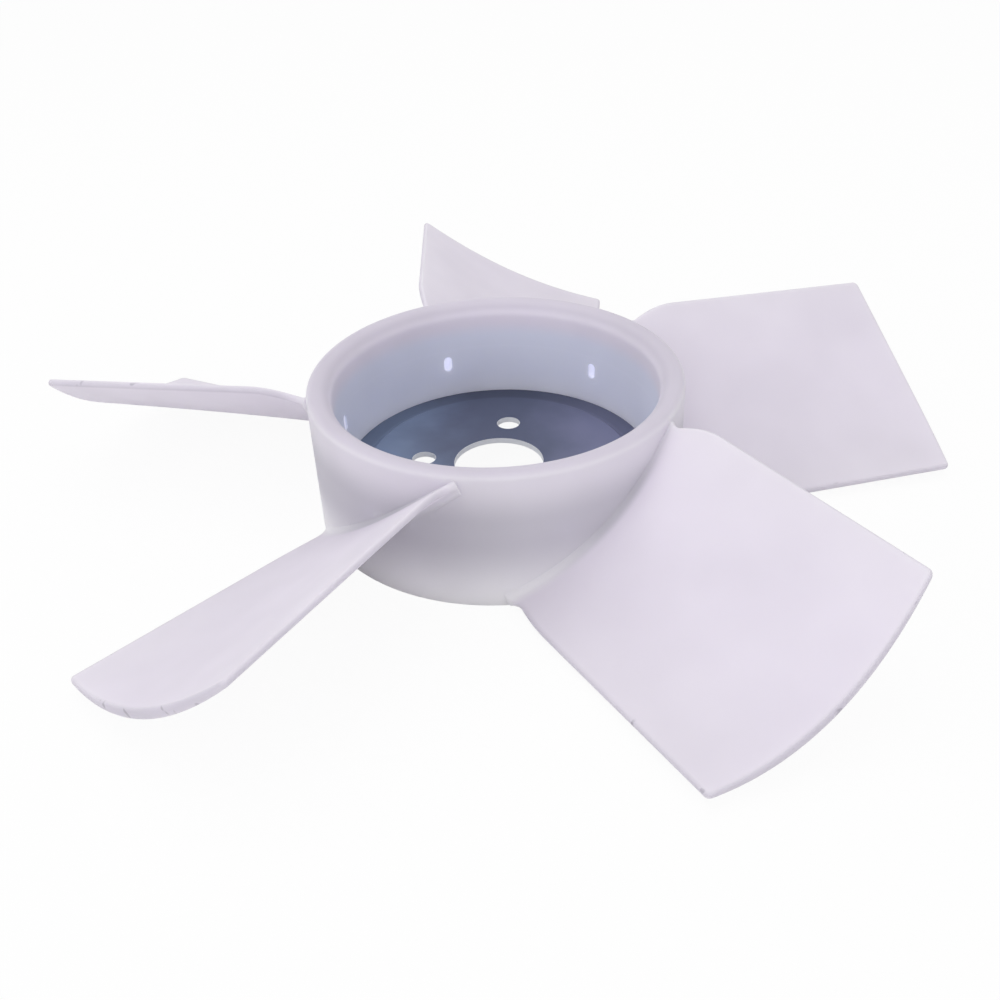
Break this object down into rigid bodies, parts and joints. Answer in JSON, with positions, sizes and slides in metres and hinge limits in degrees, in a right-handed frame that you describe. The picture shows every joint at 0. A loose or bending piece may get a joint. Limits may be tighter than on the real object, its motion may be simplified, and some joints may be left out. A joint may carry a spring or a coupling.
{
  "type": "engine cooling fan",
  "caption": "Axial engine cooling fan moulded in milky nylon: cambered, twisted blades on a deep cup-shaped hub, with a steel plate in the hub that has a centre bore and a bolt circle.",
  "frame": {"origin": "centre of the bore on the steel plate's mounting face, which is the plate's underside", "axes": "+Z along the fan's axis to the hub's open rim; X and Y in the plate's plane, with X to the right and Y away from the viewer in the picture"},
  "size_m": [0.418, 0.4096, 0.0657],
  "materials": {
    "nylon": "milky natural nylon, satin, as moulded",
    "plate_steel": "blue-grey coated steel sheet, satin"
  },
  "bodies": {
    "root": {"fan_moulding": "nylon", "mounting_plate": "plate_steel"}
  },
  "joints": []
}
